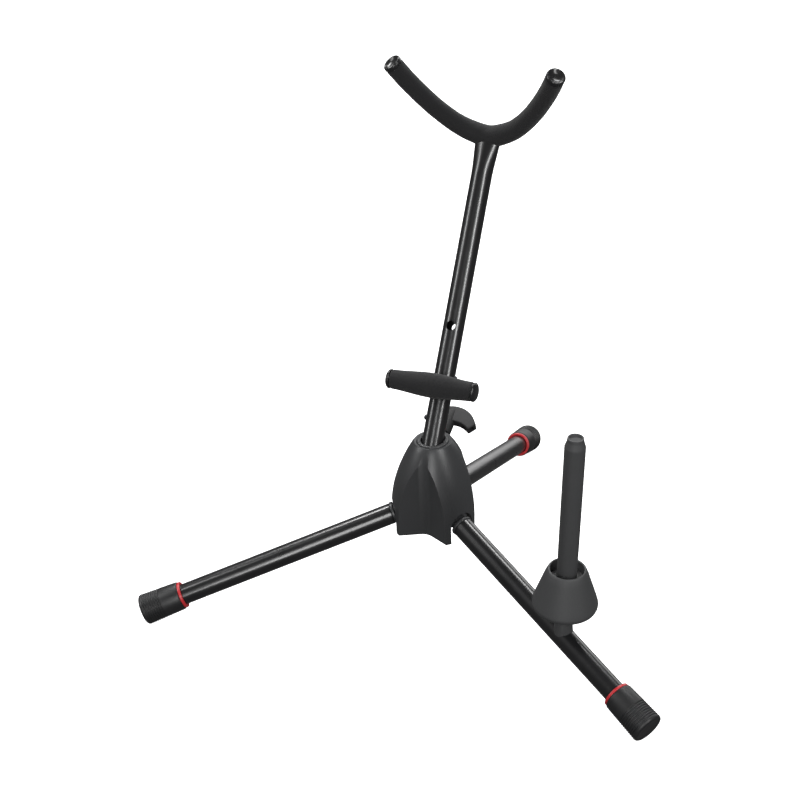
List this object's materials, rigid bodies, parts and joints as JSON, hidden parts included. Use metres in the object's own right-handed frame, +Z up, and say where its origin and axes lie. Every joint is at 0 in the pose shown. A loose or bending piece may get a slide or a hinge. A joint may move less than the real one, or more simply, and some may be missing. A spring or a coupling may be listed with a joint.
{
  "type": "saxophone stand",
  "caption": "Folding tripod floor stand for a saxophone: a foam-covered yoke on a leaning post holds the bell, a padded lower rest carries the body, and a peg on one leg holds a clarinet.",
  "frame": {"origin": "on the floor, under the middle of the bounding box", "axes": "+Z up; -Y towards the front, where the instrument leans in; +X across, along the lower rest bar"},
  "size_m": [0.488, 0.4256, 0.4731],
  "materials": {
    "moulded_plastic": "satin black moulding with a fine spark texture",
    "peg_plastic": "matte dark grey moulding",
    "black_paint": "satin black powder coat on steel tube",
    "foam_cover": "matte black closed-cell foam sleeve",
    "black_rubber": "matte black rubber",
    "red_ring": "bright red moulded ring",
    "dark_button": "blackened steel pin",
    "zinc_steel": "zinc plated steel"
  },
  "bodies": {
    "hub": {"hub_shell": "moulded_plastic", "hub_core": "moulded_plastic", "post_collar": "moulded_plastic", "pivot_pin_left": "zinc_steel", "pivot_pin_right": "zinc_steel", "pivot_pin_rear": "zinc_steel"},
    "leg_left": {"leg_knuckle_left": "moulded_plastic", "leg_tube_left": "black_paint", "foot_ring_left": "red_ring", "foot_cup_left": "black_rubber"},
    "leg_right": {"leg_knuckle_right": "moulded_plastic", "leg_tube_right": "black_paint", "foot_ring_right": "red_ring", "foot_cup_right": "black_rubber", "peg_boss": "peg_plastic"},
    "leg_rear": {"leg_knuckle_rear": "moulded_plastic", "leg_tube_rear": "black_paint", "foot_ring_rear": "red_ring", "foot_cup_rear": "black_rubber"},
    "peg": {"peg_cone": "peg_plastic", "peg_shaft": "peg_plastic", "peg_stud": "zinc_steel"},
    "wing": {"wing_knob": "moulded_plastic", "clamp_screw": "zinc_steel"},
    "post": {"post_tube": "black_paint", "post_crown": "black_paint", "yoke_rod": "black_paint", "yoke_foam": "foam_cover", "yoke_cap_left": "black_rubber", "yoke_cap_right": "black_rubber"},
    "rest": {"rest_stem": "black_paint", "rest_bar": "black_paint", "rest_foam": "foam_cover", "rest_cap_left": "black_rubber", "rest_cap_right": "black_rubber"},
    "button_low": {"snap_button_low": "dark_button"},
    "button_high": {"snap_button_high": "dark_button"}
  },
  "joints": [
    {"name": "leg_fold_left", "type": "hinge", "parent": "hub", "child": "leg_left", "pos_m": [-0.02338, -0.0781, 0.09487], "axis": [0.5, -0.866, 0], "range_deg": [0, 70]},
    {"name": "leg_fold_right", "type": "hinge", "parent": "hub", "child": "leg_right", "pos_m": [0.02338, -0.0781, 0.09487], "axis": [0.5, 0.866, 0], "range_deg": [0, 70]},
    {"name": "leg_fold_rear", "type": "hinge", "parent": "hub", "child": "leg_rear", "pos_m": [0, -0.0376, 0.09487], "axis": [-1, 0, 0], "range_deg": [0, 70]},
    {"name": "peg_turn", "type": "hinge", "parent": "leg_right", "child": "peg", "pos_m": [0.14963, -0.15099, 0.08092], "axis": [0.0453, -0.0262, 0.9986], "continuous": true},
    {"name": "wing_turn", "type": "hinge", "parent": "hub", "child": "wing", "pos_m": [0, -0.06418, 0.14813], "axis": [0, 0.9455, 0.3256], "continuous": true},
    {"name": "post_slide", "type": "slide", "parent": "hub", "child": "post", "axis": [0, 0.5577, 0.83], "range_m": [0, 0.018]},
    {"name": "rest_slide", "type": "slide", "parent": "post", "child": "rest", "axis": [0, -0.83, 0.5577], "range_m": [0, 0.03]},
    {"name": "button_press_low", "type": "slide", "parent": "post", "child": "button_low", "axis": [1, 0, 0], "range_m": [0, 0.0024], "stiffness_N_per_m": 300},
    {"name": "button_press_high", "type": "slide", "parent": "post", "child": "button_high", "axis": [-1, 0, 0], "range_m": [0, 0.0024], "stiffness_N_per_m": 300}
  ]
}
